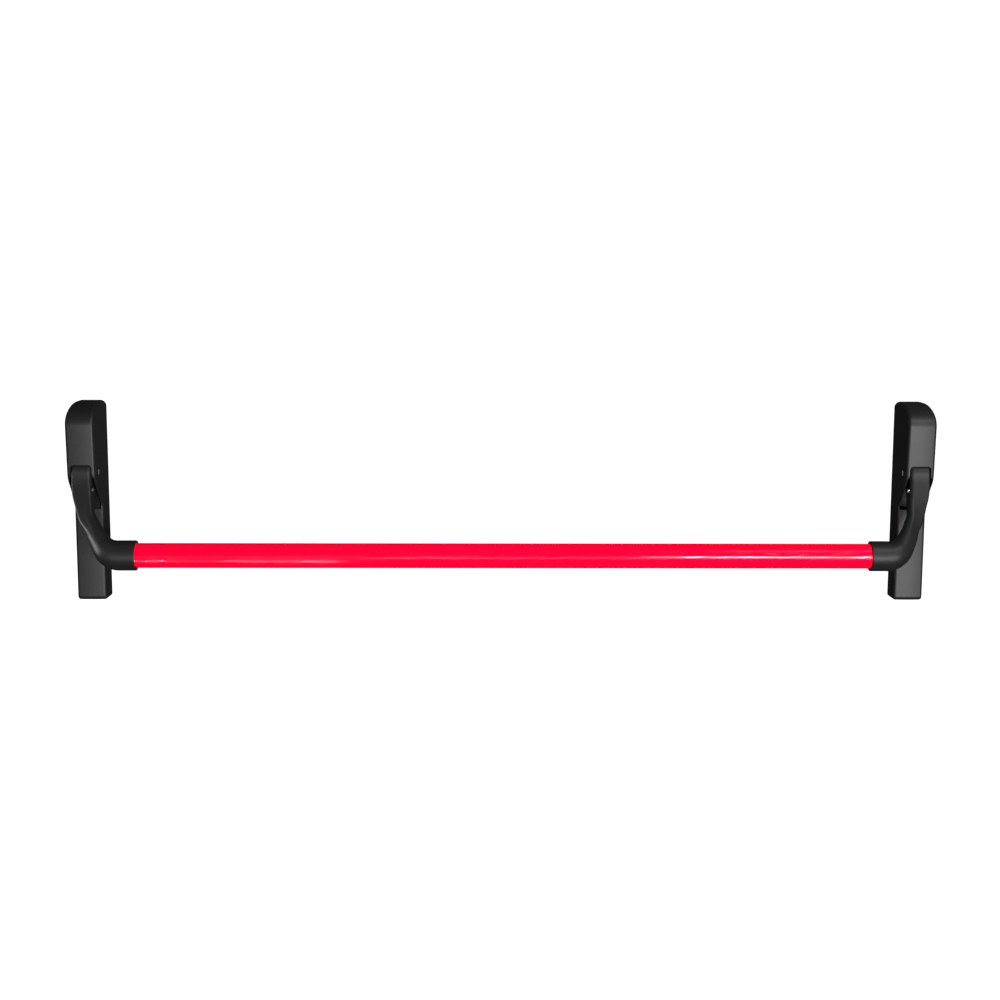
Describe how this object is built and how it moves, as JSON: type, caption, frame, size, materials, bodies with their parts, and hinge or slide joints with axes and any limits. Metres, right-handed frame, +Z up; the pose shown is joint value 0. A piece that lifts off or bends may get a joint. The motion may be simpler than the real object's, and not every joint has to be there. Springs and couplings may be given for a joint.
{
  "type": "panic exit bar",
  "caption": "Push bar for an escape door: a red round tube on two black sprung arms that swing in end housings, with a slide that turns a square lock spindle.",
  "frame": {"origin": "centre of the active base plate's back face, on the door's surface", "axes": "+X along the bar from the active housing to the passive one, +Y into the door, +Z up"},
  "size_m": [1.059, 0.1181, 0.248],
  "materials": {
    "black_cover": "satin moulded black",
    "black_arm": "satin black coating",
    "red_tube": "glossy red coating",
    "zinc_steel": "bright zinc plated sheet",
    "bright_steel": "turned steel",
    "black_sheet": "black coated steel sheet",
    "spring_steel": "drawn spring wire",
    "black_steel": "blackened steel screw",
    "nylon": "natural nylon",
    "black_rubber": "matte rubber"
  },
  "bodies": {
    "housings": {"base_plate_left": "black_sheet", "cover_left": "black_cover", "pivot_bracket_left": "black_sheet", "bracket_rivet_left_1": "bright_steel", "bracket_rivet_left_2": "bright_steel", "pivot_pin_left": "bright_steel", "spring_anchor_left": "bright_steel", "bump_stop_left": "black_rubber", "cover_screw_left": "black_steel", "return_spring_left": "spring_steel", "base_plate_right": "black_sheet", "cover_right": "black_cover", "pivot_bracket_right": "black_sheet", "bracket_rivet_right_1": "bright_steel", "bracket_rivet_right_2": "bright_steel", "pivot_pin_right": "bright_steel", "spring_anchor_right": "bright_steel", "bump_stop_right": "black_rubber", "cover_screw_right": "black_steel", "return_spring_right": "spring_steel", "guide_stud_1": "bright_steel", "guide_stud_2": "bright_steel", "hub_retainer": "zinc_steel", "retainer_screw_1": "bright_steel", "retainer_screw_2": "bright_steel", "spring_seat": "zinc_steel", "slide_spring": "spring_steel"},
    "push_bar": {"arm_left": "black_arm", "grub_screw_left": "black_steel", "spring_pin_left": "bright_steel", "arm_bush_left_outer": "nylon", "arm_bush_left_inner": "nylon", "arm_right": "black_arm", "grub_screw_right": "black_steel", "spring_pin_right": "bright_steel", "arm_bush_right_outer": "nylon", "arm_bush_right_inner": "nylon", "bar_tube": "red_tube"},
    "drive_slide": {"drive_slide": "black_sheet"},
    "spindle_hub": {"spindle_hub": "bright_steel"}
  },
  "joints": [
    {"name": "push_bar_swing", "type": "hinge", "parent": "housings", "child": "push_bar", "pos_m": [0, -0.045, 0.039], "axis": [1, 0, 0], "range_deg": [0, 24], "stiffness_Nm_per_rad": 3.8, "springref_deg": -33.23, "deforming": ["return_spring_left", "return_spring_right"]},
    {"name": "drive_slide_travel", "type": "slide", "parent": "housings", "child": "drive_slide", "axis": [0, 0, 1], "range_m": [0, 0.00936], "deforming": ["slide_spring"]},
    {"name": "spindle_hub_turn", "type": "hinge", "parent": "housings", "child": "spindle_hub", "pos_m": [0, 0, -0.036], "axis": [0, 1, 0], "range_deg": [-45.9, 0]}
  ],
  "couplings": [
    {"joint": "drive_slide_travel", "follows": "push_bar_swing", "m_per_rad": 0.022328},
    {"joint": "spindle_hub_turn", "follows": "push_bar_swing", "ratio": -1.9112}
  ]
}
